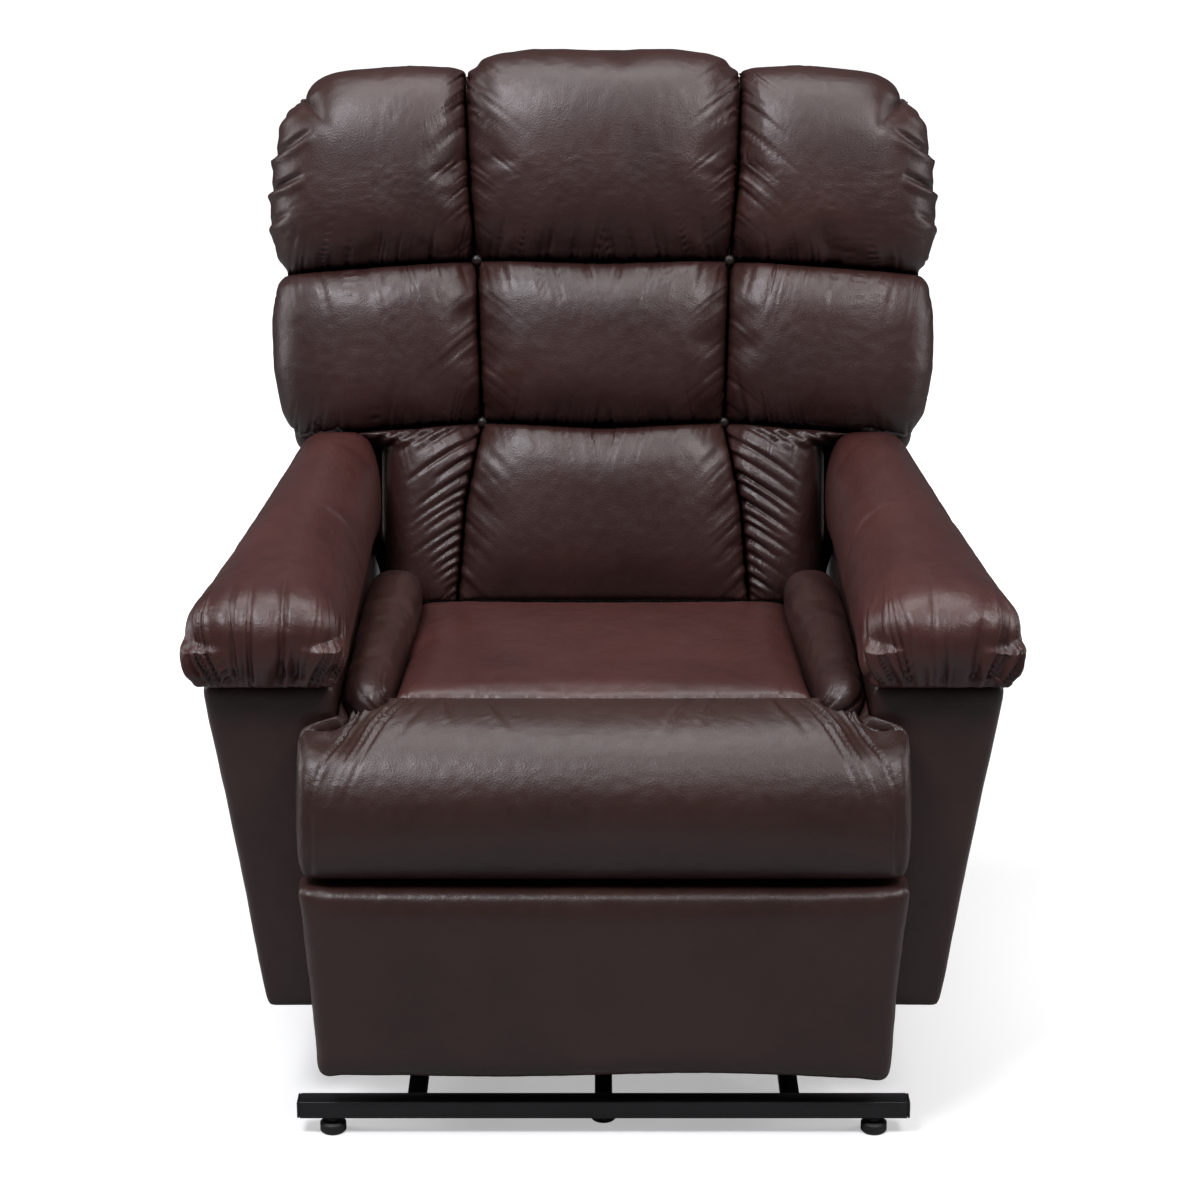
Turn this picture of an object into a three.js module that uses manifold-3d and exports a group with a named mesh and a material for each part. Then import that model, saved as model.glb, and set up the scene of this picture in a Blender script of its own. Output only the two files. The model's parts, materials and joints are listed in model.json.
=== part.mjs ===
// Lift recliner chair: an upholstered recliner on a steel lift base.
// Millimetres, +Z up, +Y towards the back of the chair, X across it. The origin is on the floor, under the
// middle of the chair. "left" and "right" are -X and +X, as seen by someone standing in front of the chair.
import * as THREE from "three";
import { mergeVertices } from "three/addons/utils/BufferGeometryUtils.js";
import Module from "manifold-3d";

const wasm = await Module();
wasm.setup();

// ---- driving dimensions -------------------------------------------------------------------------------
const halfDepth = 490; // the chair reaches this far in front of and behind the origin
const gap = 0.3; // between pieces that touch
const pinR = 5; // pivot pins
const pinFit = 0.5; // radial clearance of a pin in its hole

// Base: square steel tube on levelling feet.
const tube = { wide: 25, high: 20, wall: 2, bottom: 21 };
const frontBar = { half: 346, y: -444.5 };
const rearBar = { half: 300, y: 342.5 };
const railX = 214; // centre of each side rail
const footR = 15;
const footStemR = 4;
const feet = {
  foot_front_left: [-309, frontBar.y],
  foot_front_center: [0, -414],
  foot_front_right: [309, frontBar.y],
  foot_rear_left: [-272, rearBar.y],
  foot_rear_right: [272, rearBar.y],
};

// Lift linkage: pivots as [y, z].
const liftPivot = [-200, 72]; // lift arm on the base
const liftEnd = [150, 112]; // lift arm on the chair frame
const tiltPivot = [-231, 65.7]; // tilt link on the base
const tiltEnd = [40, 95]; // tilt link on the chair frame
const liftMotorPivot = [150, 72];
const liftHornPin = [-179, 188];
const liftEyeFit = 6.8; // radial play of the rod's eye on its pin

// Layers across the chair, as [inner x, outer x] on the right side.
const layer = {
  liftArm: [206, 212],
  baseBracket: [214, 220],
  backBracket: [216, 222],
  tiltLink: [222, 228],
  sidePlate: [230, 236],
  driveLink: [240, 245],
  ottomanLink: [247, 252],
  footrestBracket: [254, 259],
};

// Chair frame.
const seatRail = { bottom: 290, top: 340, front: -388, rear: 262 };
const crossRail = { high: 25, half: 300 - gap, front: [seatRail.front, -342], rear: [120, 160] };
const armInner = 300;
const armPanel = { front: -385, rear: 400, bottom: 125, top: 517, outerBottom: 386, outerTop: 449 };
const armPillow = { inner: 282, outer: 470, front: -425, rear: 230, bottom: 520, top: 650 };
const seatCushion = { half: 240, front: -394, rear: 135, bottom: 372 };
const backMotorPivot = [-205, 255];
const backMotorX = -110;
const backEyeFit = 6.2;

// Legrest: it turns about a line near the seat's front edge. Its links are parallelograms about that line.
const legrestAxis = [-440, 465];
const drivePivot = [-129.5, 318];
const ottomanPin = [-385, 240];
const driveEnd = [0, 1].map((k) => drivePivot[k] + ottomanPin[k] - legrestAxis[k]);
const footrest = { top: 308, bottom: 80, halfTop: 341, halfBottom: 322, front: -472, boardFront: -418 };
const calfRoll = { half: 340, bottom: 312 };

// Back: built upright about its pivot, then leaned back. u runs backwards and v up the leaning back.
const backPivot = [215, 400];
const backLean = THREE.MathUtils.degToRad(16);
const backHornPin = [235, 292]; // [y, z] with the back upright in the chair
const backBoard = { front: -12, rear: 8, bottom: 22, top: 700, narrow: 214, wide: 372 };
const backRows = {
  wingBottom: 254,
  headBottom: 464,
  headTop: 749,
  lumbarHalf: 272,
  middleHalf: 430,
  headHalf: 433,
};
const shellRear = (halfDepth - backPivot[0] - 722 * Math.sin(backLean)) / Math.cos(backLean);

// Hand control on the outside of the left arm.
const armLean = Math.atan2(armPanel.outerTop - armPanel.outerBottom, armPanel.top - armPanel.bottom);
const handset = { wide: 54, thick: 20, high: 150, y: -90, low: 140 };
const pocket = { wall: 4, high: 104, clear: 1 };

// ---- materials ----------------------------------------------------------------------------------------
const leather = new THREE.MeshStandardMaterial({ color: 0x3c2624, roughness: 0.42, metalness: 0 });
const blackSteel = new THREE.MeshStandardMaterial({ color: 0x17181a, roughness: 0.38, metalness: 0.3 });
const zincSteel = new THREE.MeshStandardMaterial({ color: 0x8f9396, roughness: 0.35, metalness: 1 });
const wood = new THREE.MeshStandardMaterial({ color: 0xb08a5c, roughness: 0.7, metalness: 0 });
const blackPlastic = new THREE.MeshStandardMaterial({ color: 0x1b1b1d, roughness: 0.5, metalness: 0 });
const greyPlastic = new THREE.MeshStandardMaterial({ color: 0x9a9ca0, roughness: 0.45, metalness: 0 });
const rubber = new THREE.MeshStandardMaterial({ color: 0x101011, roughness: 0.8, metalness: 0 });

// ---- shape helpers ------------------------------------------------------------------------------------
// A shape drawn in (y, z) is extruded along x, one in (x, z) along y.
const alongX = new THREE.Matrix4().set(0, 0, 1, 0, 1, 0, 0, 0, 0, 1, 0, 0, 0, 0, 0, 1);
const alongY = new THREE.Matrix4().set(1, 0, 0, 0, 0, 0, -1, 0, 0, 1, 0, 0, 0, 0, 0, 1);

function polygon(points) {
  return new THREE.Shape(points.map(([a, b]) => new THREE.Vector2(a, b)));
}

function hole(shape, [a, b], radius) {
  shape.holes.push(new THREE.Path().absarc(a, b, radius, 0, 2 * Math.PI, true));
  return shape;
}

function extrude(shape, depth, curveSegments = 8) {
  return new THREE.ExtrudeGeometry(shape, { depth, bevelEnabled: false, curveSegments });
}

function plateX(shape, [x0, x1], curveSegments) {
  return extrude(shape, x1 - x0, curveSegments).applyMatrix4(alongX).translate(x0, 0, 0);
}

function plateY(shape, [y0, y1], curveSegments) {
  return extrude(shape, y1 - y0, curveSegments).applyMatrix4(alongY).translate(0, y1, 0);
}

function box([x0, x1], [y0, y1], [z0, z1]) {
  const middle = [(x0 + x1) / 2, (y0 + y1) / 2, (z0 + z1) / 2];
  return new THREE.BoxGeometry(x1 - x0, y1 - y0, z1 - z0).translate(...middle);
}

function rodX([y, z], radius, [x0, x1], sides = 16) {
  return new THREE.CylinderGeometry(radius, radius, x1 - x0, sides)
    .rotateZ(-Math.PI / 2)
    .translate((x0 + x1) / 2, y, z);
}

function rodZ([x, y], radius, [z0, z1], sides = 16) {
  return new THREE.CylinderGeometry(radius, radius, z1 - z0, sides)
    .rotateX(Math.PI / 2)
    .translate(x, y, (z0 + z1) / 2);
}

// A flat link: straight sides between two round ends, with a hole at each end.
function linkShape(a, b, radius, holeA, holeB) {
  const angle = Math.atan2(b[1] - a[1], b[0] - a[0]);
  const shape = new THREE.Shape();
  shape.absarc(a[0], a[1], radius, angle + Math.PI / 2, angle + 1.5 * Math.PI, false);
  shape.absarc(b[0], b[1], radius, angle - Math.PI / 2, angle + Math.PI / 2, false);
  shape.closePath();
  if (holeA) hole(shape, a, holeA);
  if (holeB) hole(shape, b, holeB);
  return shape;
}

function solid(geometry) {
  const bare = new THREE.BufferGeometry();
  const source = geometry.index ? geometry.toNonIndexed() : geometry;
  bare.setAttribute("position", source.getAttribute("position"));
  const merged = mergeVertices(bare, 1e-4);
  return new wasm.Manifold(
    new wasm.Mesh({
      numProp: 3,
      vertProperties: merged.attributes.position.array,
      triVerts: new Uint32Array(merged.index.array),
    }),
  );
}

function geometryOf(made) {
  const mesh = made.getMesh();
  return new THREE.BufferGeometry()
    .setAttribute("position", new THREE.BufferAttribute(new Float32Array(mesh.vertProperties), 3))
    .setIndex(new THREE.BufferAttribute(new Uint32Array(mesh.triVerts), 1));
}

function join(...parts) {
  return geometryOf(parts.map(solid).reduce((a, b) => a.add(b)));
}

function cut(body, ...tools) {
  return geometryOf(tools.map(solid).reduce((a, b) => a.subtract(b), solid(body)));
}

const chair = new THREE.Group();

function add(name, geometry, material, parent = chair) {
  const mesh = new THREE.Mesh(geometry, material);
  mesh.name = name;
  parent.add(mesh);
  return mesh;
}

// Adds a piece drawn on the right side, and its mirror image on the left.
function addPair(name, geometry, material, parent = chair) {
  add(name + "_right", geometry, material, parent);
  add(name + "_left", geometry, material, parent).scale.x = -1;
}

// ---- base ---------------------------------------------------------------------------------------------
const barTop = tube.bottom + tube.high;

// A hollow bar across the chair, with a hole in its underside for the stem of each foot.
function barX({ half, y }, barFeet) {
  const z = tube.bottom + tube.high / 2;
  const outer = box([-half, half], [y - tube.wide / 2, y + tube.wide / 2], [tube.bottom, barTop]);
  const w = tube.wide / 2 - tube.wall;
  const h = tube.high / 2 - tube.wall;
  const inner = box([-half - 1, half + 1], [y - w, y + w], [z - h, z + h]);
  const holes = barFeet.map((foot) => rodZ(foot, footStemR + pinFit, [tube.bottom - 1, tube.bottom + 5], 12));
  return cut(outer, inner, ...holes);
}

function endCap({ half, y }) {
  const grip = 8;
  const w = tube.wide / 2 - tube.wall - gap;
  const h = tube.high / 2 - tube.wall - gap;
  const z = tube.bottom + tube.high / 2;
  const head = box([half + gap, half + 3], [y - tube.wide / 2, y + tube.wide / 2], [tube.bottom, barTop]);
  const plug = box([half - grip, half + gap + 1], [y - w, y + w], [z - h, z + h]);
  return join(head, plug);
}

function makeBase() {
  const frontFeet = [feet.foot_front_left, feet.foot_front_right];
  const rearFeet = [feet.foot_rear_left, feet.foot_rear_right];
  add("base_front_bar", barX(frontBar, frontFeet), blackSteel);
  addPair("front_bar_end_cap", endCap(frontBar), blackPlastic);
  addPair("rear_bar_end_cap", endCap(rearBar), blackPlastic);

  // Three rails welded to the rear bar.
  const between = [frontBar.y + tube.wide / 2 + gap, rearBar.y - tube.wide / 2 + 0.5];
  const rails = [-railX, 0, railX].map((x) => box([x - 10, x + 10], between, [tube.bottom, barTop]));
  const [, footY] = feet.foot_front_center;
  const stemHole = rodZ([0, footY], footStemR + pinFit, [tube.bottom - 1, tube.bottom + 12], 12);
  add("base_rear_frame", cut(join(barX(rearBar, rearFeet), ...rails), stemHole), blackSteel);

  // Upright bracket on each side rail, with the two lower pivots of the lift linkage.
  const foot = barTop + gap;
  const ear = polygon([[-262, foot], [-160, foot], [-180, 88], [-192, 94], [-212, 94], [-246, 84]]);
  const liftPin = rodX(liftPivot, pinR, [layer.liftArm[0] + 0.5, layer.baseBracket[0] + 1]);
  const tiltPin = rodX(tiltPivot, pinR, [layer.baseBracket[1] - 1, layer.tiltLink[1] + 1]);
  addPair("lift_bracket", join(plateX(ear, layer.baseBracket), liftPin, tiltPin), blackSteel);

  // Clevis on the centre rail for the back end of the lift actuator.
  const [my, mz] = liftMotorPivot;
  const flange = box([-21, 21], [my - 24, my + 24], [foot, foot + 4]);
  const cheek = polygon([
    [my - 20, foot], [my + 20, foot], [my + 12, mz + 10], [my, mz + 14], [my - 12, mz + 10],
  ]);
  const cheeks = [[15, 21], [-21, -15]].map((x) => plateX(cheek, x));
  const pin = rodX(liftMotorPivot, pinR, [-18, 18]);
  add("lift_actuator_clevis", join(flange, ...cheeks, pin), blackSteel);

  for (const [name, [x, y]] of Object.entries(feet)) {
    const profile = [[0, 0], [footR - 2, 0], [footR, 2], [footR, 11], [footR - 3, 13], [6.5, 13], [6.5, 17]];
    const stem = [[footStemR, 17], [footStemR, 30], [0, 30]];
    const points = [...profile, ...stem].map(([r, z]) => new THREE.Vector2(r, z));
    const turned = new THREE.LatheGeometry(points, 20).rotateX(Math.PI / 2).translate(x, y, 0);
    add(name, turned, rubber);
  }
}

// ---- actuators ----------------------------------------------------------------------------------------
// An actuator drawn from its back pivot to its rod's eye. The gearbox and motor sit by the back pivot.
const actuator = { tubeR: 16, rodR: 8, gearR: 26, lug: 12, eye: 7, motorR: 24, motorLong: 88 };

function actuatorParts(name, from, to, { x, motorSide, tubeLong, rodStart, eyeHoleR }) {
  const length = Math.hypot(to[0] - from[0], to[1] - from[1]);
  const group = new THREE.Group();
  group.position.set(x, from[0], from[1]);
  group.rotation.x = Math.atan2(to[1] - from[1], to[0] - from[0]);
  chair.add(group);

  const { tubeR, rodR, gearR, lug, eye, motorR, motorLong } = actuator;
  const lugShape = linkShape([0, 0], [40, 0], 12, pinR + pinFit, 0);
  const gearbox = box([-gearR, gearR], [28, 92], [-gearR, gearR]);
  const motor = rodX([60, 0], motorR, [gearR - 1, gearR + motorLong], 20).scale(motorSide, 1, motorSide);
  const bore = cylinderY(rodR + 0.6, [96, tubeLong + 1], 16);
  const outer = cylinderY(tubeR, [90, tubeLong], 16);
  const body = join(plateX(lugShape, [-lug, lug]), gearbox, motor, outer);
  add(name + "_motor", cut(body, bore), blackPlastic, group);

  const eyeRing = new THREE.Shape().absarc(length, 0, eyeHoleR + 6, 0, 2 * Math.PI, false);
  const rod = cylinderY(rodR, [rodStart, length - eyeHoleR - 1], 16);
  const eyePlate = plateX(eyeRing, [-eye, eye], 12);
  const eyeHole = rodX([length, 0], eyeHoleR, [-eye - 1, eye + 1], 20);
  add(name + "_rod", cut(join(eyePlate, rod), eyeHole), zincSteel, group);
}

function cylinderY(radius, [y0, y1], sides) {
  return new THREE.CylinderGeometry(radius, radius, y1 - y0, sides).translate(0, (y0 + y1) / 2, 0);
}

// ---- lift linkage -------------------------------------------------------------------------------------
function makeLift() {
  const tilt = linkShape(tiltPivot, tiltEnd, 13, pinR + pinFit, pinR + pinFit);
  addPair("tilt_link", plateX(tilt, layer.tiltLink), blackSteel);

  // The two lift arms, welded to a torque tube with the horn that the lift actuator pushes.
  const arm = linkShape(liftPivot, liftEnd, 16, pinR + pinFit, pinR + pinFit);
  const [inner, outer] = layer.liftArm;
  const arms = [[inner, outer], [-outer, -inner]].map((x) => plateX(arm, x));
  const horn = linkShape(liftPivot, liftHornPin, 13, 0, 0);
  const horns = [[10, 16], [-16, -10]].map((x) => plateX(horn, x));
  const torqueTube = rodX(liftPivot, 14, [-inner - 0.2, inner + 0.2], 16);
  const pin = rodX(liftHornPin, pinR, [-14, 14]);
  add("lift_arms", join(torqueTube, ...arms, ...horns, pin), blackSteel);
  const fit = { x: 0, motorSide: 1, tubeLong: 290, rodStart: 110, eyeHoleR: pinR + liftEyeFit };
  actuatorParts("lift_actuator", liftMotorPivot, liftHornPin, fit);
}

// ---- chair frame --------------------------------------------------------------------------------------
function makeChairFrame() {
  const { bottom, top, front, rear } = seatRail;
  const [ky, kz] = backPivot;
  const plate = polygon([
    [front, bottom + 14], [-265, bottom], [-255, 240], [-205, 240], [-190, bottom],
    [10, bottom], [22, 80], [56, 78], [166, 94], [170, 128], [130, bottom],
    [rear, bottom], [rear, top], [ky + 20, top], [ky + 18, kz + 8], [ky + 8, kz + 18],
    [ky - 8, kz + 18], [ky - 18, kz + 8], [ky - 20, top], [front, top],
  ]);
  hole(plate, drivePivot, 9 + pinFit);
  const liftPin = rodX(liftEnd, pinR, [layer.liftArm[0] - 1, layer.sidePlate[0] + 1]);
  const tiltPin = rodX(tiltEnd, pinR - 0.1, [layer.tiltLink[0] - 1, layer.sidePlate[0] + 1]);
  const backPin = rodX(backPivot, 6, [layer.backBracket[0] - 1, layer.sidePlate[0] + 1]);
  addPair("seat_side_plate", join(plateX(plate, layer.sidePlate), liftPin, tiltPin, backPin), blackSteel);

  const low = top + gap;
  const across = [-crossRail.half, crossRail.half];
  add("seat_front_rail", box(across, crossRail.front, [low, low + crossRail.high]), wood);
  add("seat_rear_rail", box(across, crossRail.rear, [low, low + crossRail.high]), wood);
  makeSeatSprings(low + crossRail.high / 2);

  // Cross tube between the side plates, with the clevis for the back actuator.
  const [gy, gz] = backMotorPivot;
  const reach = layer.sidePlate[0] - gap;
  const spar = rodX([gy - 25, gz + 7], 12, [-reach, reach], 16);
  const cheek = linkShape([gy - 25, gz + 7], [gy, gz], 11, 0, 0);
  const cheeks = [-1, 1].map((s) => plateX(cheek, [backMotorX + s * 18 - 3, backMotorX + s * 18 + 3]));
  const pin = rodX(backMotorPivot, pinR, [backMotorX - 16, backMotorX + 16]);
  add("back_actuator_cross_tube", join(spar, ...cheeks, pin), blackSteel);

  add("rear_panel", box([-crossRail.half, crossRail.half], [384, 396], [130, 385]), leather);
  const gland = rodX([364, 232], 6, [-187, -170], 12);
  add("control_box", join(box([-180, -60], [346, 384 - gap], [180, 260]), gland), blackPlastic);
}

// Zigzag seat springs joined by a wire across each end.
function makeSeatSprings(z) {
  const rows = 4;
  const loops = 9;
  const wireR = 2;
  const endWireR = 3;
  const [y0, y1] = [crossRail.front[1] + endWireR + gap, crossRail.rear[0] - endWireR - gap];
  const pitch = (y1 - y0) / loops;
  const swing = 22;
  const wire = (points) => {
    const path = new THREE.CurvePath();
    for (let i = 1; i < points.length; i++) path.add(new THREE.LineCurve3(points[i - 1], points[i]));
    const ring = new THREE.Shape().absarc(0, 0, wireR, 0, 2 * Math.PI, false);
    const steps = points.length * 2 - 2;
    return new THREE.ExtrudeGeometry(ring, { steps, extrudePath: path, curveSegments: 3 });
  };
  const springs = [];
  for (let row = 0; row < rows; row++) {
    const x = -165 + row * 110;
    const points = [new THREE.Vector3(x, y0, z)];
    for (let i = 0; i < loops; i++) {
      const side = i % 2 ? -swing : swing;
      points.push(new THREE.Vector3(x + side, y0 + (i + 0.25) * pitch, z));
      points.push(new THREE.Vector3(x + side, y0 + (i + 0.75) * pitch, z));
    }
    points.push(new THREE.Vector3(x, y1, z));
    springs.push(wire(points));
  }
  for (const y of [y0, y1]) springs.push(rodX([y, z], endWireR, [-205, 205], 8));
  add("seat_spring_unit", join(...springs), zincSteel);
}

// ---- arms ---------------------------------------------------------------------------------------------
// A closed rounded block: a ball whose points are pushed out towards the faces of the box it fills.
function roundedBlock([x0, x1], [y0, y1], [z0, z1], squareness = 0.5) {
  const ball = new THREE.SphereGeometry(1, 20, 12).rotateX(Math.PI / 2);
  const place = ball.getAttribute("position");
  const push = (value) => Math.sign(value) * Math.abs(value) ** squareness;
  for (let i = 0; i < place.count; i++) {
    place.setXYZ(i, push(place.getX(i)), push(place.getY(i)), push(place.getZ(i)));
  }
  ball.computeBoundingBox();
  const size = ball.boundingBox.max;
  ball.scale((x1 - x0) / 2 / size.x, (y1 - y0) / 2 / size.y, (z1 - z0) / 2 / size.z);
  return ball.translate((x0 + x1) / 2, (y0 + y1) / 2, (z0 + z1) / 2);
}

function makeArms() {
  const { front, rear, bottom, top, outerBottom, outerTop } = armPanel;
  const section = polygon([[armInner, bottom], [outerBottom, bottom], [outerTop, top], [armInner, top]]);
  addPair("arm_panel", plateY(section, [front, rear]), leather);
  const p = armPillow;
  const pillow = roundedBlock([p.inner, p.outer], [p.front, p.rear], [p.bottom, p.top], 0.45);
  addPair("arm_pillow", pillow, leather);
}

// ---- seat ---------------------------------------------------------------------------------------------
function makeSeat() {
  const { half, front, rear, bottom } = seatCushion;
  const side = polygon([
    [front, bottom], [rear, bottom], [rear, 446], [rear - 12, 455], [-60, 478], [-330, 492], [front + 12, 488],
    [front, 476],
  ]);
  add("seat_cushion", plateX(side, [-half, half]), leather);
  const [inner, outer] = [half + 4, armInner - 4];
  const bolster = polygon([[inner, bottom], [outer, bottom], [outer, 517], [inner + 18, 517], [inner, 496]]);
  addPair("seat_bolster", plateY(bolster, [-380, 110]), leather);
}

// ---- legrest ------------------------------------------------------------------------------------------
function makeLegrest() {
  // The two drive links, welded to the torque tube that turns in the side plates.
  const drive = linkShape(drivePivot, driveEnd, 13, 0, 0);
  const [inner, outer] = layer.driveLink;
  const links = [[inner, outer], [-outer, -inner]].map((x) => plateX(drive, x));
  const pinEnd = layer.ottomanLink[1] + 1;
  const pins = [[outer - 1, pinEnd], [-pinEnd, 1 - outer]].map((x) => rodX(driveEnd, pinR, x));
  const torqueTube = rodX(drivePivot, 9, [-inner - 1, inner + 1], 16);
  add("legrest_drive_links", join(torqueTube, ...links, ...pins), zincSteel);
  const ottoman = linkShape(driveEnd, ottomanPin, 12, pinR + pinFit, pinR + pinFit);
  addPair("legrest_ottoman_link", plateX(ottoman, layer.ottomanLink), zincSteel);

  const { top, bottom, halfTop, halfBottom, front, boardFront } = footrest;
  const face = (inset) => {
    const [wide, narrow] = [halfTop - inset, halfBottom - inset];
    const [low, high] = [bottom + inset / 2, top - inset / 5];
    return polygon([[-narrow, low], [narrow, low], [wide, high], [-wide, high]]);
  };
  add("footrest_pad", plateY(face(0), [front, boardFront]), leather);
  const boardRear = boardFront + gap + 15;
  add("footrest_board", plateY(face(22), [boardFront + gap, boardRear]), wood);

  const [oy, oz] = ottomanPin;
  const root = boardRear + gap;
  const ear = polygon([
    [root, oz - 50], [oy + 6, oz - 12], [oy + 14, oz - 4], [oy + 14, oz + 4], [oy + 6, oz + 12], [root, oz + 50],
  ]);
  const ottomanPinRod = rodX(ottomanPin, pinR, [layer.ottomanLink[0] - 1, layer.footrestBracket[0] + 1]);
  addPair("footrest_bracket", join(plateX(ear, layer.footrestBracket), ottomanPinRod), blackSteel);

  const { half } = calfRoll;
  const roll = polygon([
    [-400, calfRoll.bottom], [-462, calfRoll.bottom], [-480, 332], [-halfDepth, 372], [-halfDepth, 418],
    [-481, 452], [-456, 476], [-425, 485], [-400, 480],
  ]);
  add("calf_roll", plateX(roll, [-half, half]), leather);
}

// ---- back ---------------------------------------------------------------------------------------------
function makeBack() {
  const back = new THREE.Group();
  back.position.set(0, ...backPivot);
  back.rotation.x = -backLean;
  chair.add(back);

  const { front, rear, bottom, top, narrow, wide } = backBoard;
  const { wingBottom, headBottom, headTop, lumbarHalf, middleHalf, headHalf } = backRows;
  const step = wingBottom + 16;
  const board = polygon([
    [-narrow, bottom], [narrow, bottom], [narrow, step], [wide, step], [wide, top - 90], [wide - 70, top],
    [70 - wide, top], [-wide, top - 90], [-wide, step], [-narrow, step],
  ]);
  add("back_board", plateY(board, [front, rear]), wood, back);

  const bar = hole(polygon([
    [-12, 240], [-12, 12], [-14, 0], [-8, -14], [8, -14], [16, 0], [8, 14], [8, 240],
  ]), [0, 0], 6 + pinFit);
  addPair("back_bracket", plateX(bar, layer.backBracket), blackSteel, back);

  // The outer cover: a thick upper part behind the board, which fills the gap between the arms, and a thin skirt
  // that hangs below it.
  const skirtBottom = -45;
  const waist = 30;
  const coverHalf = armInner - 4;
  const upper = polygon([
    [-coverHalf, waist], [coverHalf, waist], [coverHalf, wingBottom], [408, wingBottom], [414, 600],
    [380, 690], [300, 722], [-300, 722], [-380, 690], [-414, 600], [-408, wingBottom], [-coverHalf, wingBottom],
  ]);
  const skirtHalf = layer.sidePlate[0] - 4;
  const skirt = box([-skirtHalf, skirtHalf], [shellRear - 16, shellRear], [skirtBottom, waist + 1]);
  add("back_outer_cover", join(plateY(upper, [rear + gap, shellRear]), skirt), leather, back);

  // Three rows of padding, each with the side profile of a pillow, in (u, v).
  const rest = front - gap;
  const lumbar = [[rest, 42], [-70, 42], [-92, 62], [-104, 130], [-98, 200], [-72, 250], [rest, 250]];
  add("lumbar_pillow", plateX(polygon(lumbar), [-lumbarHalf, lumbarHalf]), leather, back);
  const middle = [
    [rest, wingBottom], [-70, wingBottom], [-100, 285], [-112, 355], [-102, 430], [-72, 460], [rest, 460],
  ];
  add("middle_pillow", plateX(polygon(middle), [-middleHalf, middleHalf]), leather, back);
  const head = [
    [rest, headBottom], [-74, headBottom], [-108, 500], [-122, 580], [-116, 670], [-86, 730], [-40, headTop],
    [rest, headTop - 4],
  ];
  add("head_pillow", plateX(polygon(head), [-headHalf, headHalf]), leather, back);

  // Bracket under the board that the back actuator pulls.
  const pin = toBack(backHornPin);
  const cheek = polygon([
    [front, bottom - gap], [pin[0] - 12, pin[1] - 4], [pin[0] - 8, pin[1] - 11], [pin[0] + 4, pin[1] - 12],
    [pin[0] + 12, pin[1]], [rear, bottom - gap],
  ]);
  const cheeks = [-1, 1].map((s) => plateX(cheek, [backMotorX + s * 13 - 3, backMotorX + s * 13 + 3]));
  const web = box([backMotorX - 16, backMotorX + 16], [front, rear], [bottom - gap - 6, bottom - gap]);
  const pinRod = rodX(pin, pinR, [backMotorX - 14, backMotorX + 14]);
  add("back_actuator_bracket", join(...cheeks, web, pinRod), blackSteel, back);
  const fit = { x: backMotorX, motorSide: -1, tubeLong: 330, rodStart: 180, eyeHoleR: pinR + backEyeFit };
  actuatorParts("back_actuator", backMotorPivot, backHornPin, fit);
}

// A point [y, z] of the chair in the leaning back's own (u, v).
function toBack([y, z]) {
  const [dy, dz] = [y - backPivot[0], z - backPivot[1]];
  const [c, s] = [Math.cos(backLean), Math.sin(backLean)];
  return [dy * c - dz * s, dy * s + dz * c];
}

// ---- hand control -------------------------------------------------------------------------------------
// Drawn standing on the arm's outer face: local x out of the face, y along the arm, z up the face.
function makeHandset() {
  const side = new THREE.Group();
  side.position.set(-armPanel.outerBottom, 0, armPanel.bottom);
  side.rotation.y = -armLean;
  side.scale.x = -1;
  chair.add(side);

  const { wide, thick, high, y, low } = handset;
  const { wall, clear } = pocket;
  const outside = box(
    [gap, gap + wall + thick + 2 * clear + wall],
    [y - wide / 2 - clear - wall, y + wide / 2 + clear + wall],
    [low - wall - clear, low + pocket.high],
  );
  const inside = box(
    [gap + wall, gap + wall + thick + 2 * clear],
    [y - wide / 2 - clear, y + wide / 2 + clear],
    [low - clear, low + pocket.high + 1],
  );
  add("handset_pocket", cut(outside, inside), leather, side);

  const x0 = gap + wall + clear;
  const body = box([x0, x0 + thick], [y - wide / 2, y + wide / 2], [low, low + high]);
  const buttons = {};
  for (const [row, rowName] of ["lower", "upper"].entries()) {
    for (const [column, columnName] of ["front", "rear"].entries()) {
      const place = [y + (column ? 12 : -12), low + high - 32 + row * 20];
      buttons[`button_${rowName}_${columnName}`] = place;
    }
  }
  const sockets = Object.values(buttons).map((c) => rodX(c, 7.5, [x0 + thick - 5, x0 + thick + 1], 16));
  add("handset_body", cut(body, ...sockets), blackPlastic, side);
  for (const [name, c] of Object.entries(buttons)) {
    add(name, rodX(c, 7, [x0 + thick - 2.5, x0 + thick + 1.5], 16), greyPlastic, side);
  }
}

makeBase();
makeLift();
makeChairFrame();
makeArms();
makeSeat();
makeLegrest();
makeBack();
makeHandset();

export default chair;
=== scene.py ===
"""Looks of the lift recliner chair, around its CAD frame. Metres, +Z up, +Y towards the chair's back."""
import json
import math
from contextlib import contextmanager

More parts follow.
